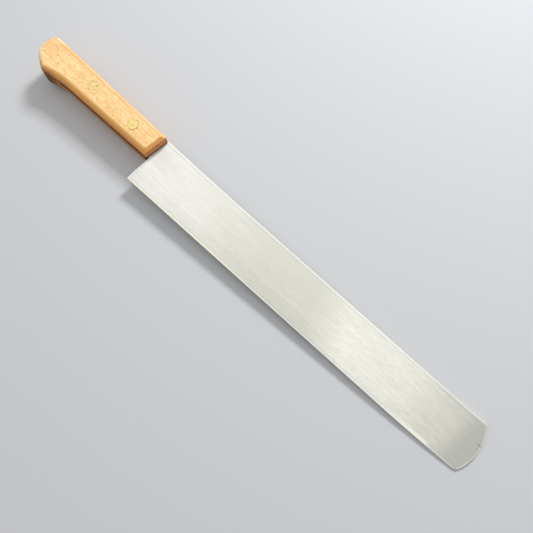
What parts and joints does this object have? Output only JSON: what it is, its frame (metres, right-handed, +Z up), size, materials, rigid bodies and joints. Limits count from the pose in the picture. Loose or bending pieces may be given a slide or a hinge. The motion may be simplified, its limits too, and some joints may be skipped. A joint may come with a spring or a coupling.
{
  "type": "slicing knife",
  "caption": "Long flat slicing knife with a blunt round tip and a bevelled wooden handle with a hooked butt and flush brass rivets, lying on its side.",
  "frame": {"origin": "on the surface that the knife lies on, under the middle of its bounding box", "axes": "+X from the butt of the handle towards the tip, +Y from the cutting edge towards the spine, +Z up through the upper cheek of the handle"},
  "size_m": [0.384, 0.039, 0.0225],
  "materials": {
    "steel": "brushed along the blade",
    "wood": "satin, lightly oiled",
    "brass": "sanded flush with the wood"
  },
  "bodies": {
    "root": {"blade": "steel", "handle": "wood", "front_rivet_tube": "brass", "front_rivet_pin": "brass", "rear_rivet_tube": "brass", "rear_rivet_pin": "brass"}
  },
  "joints": []
}
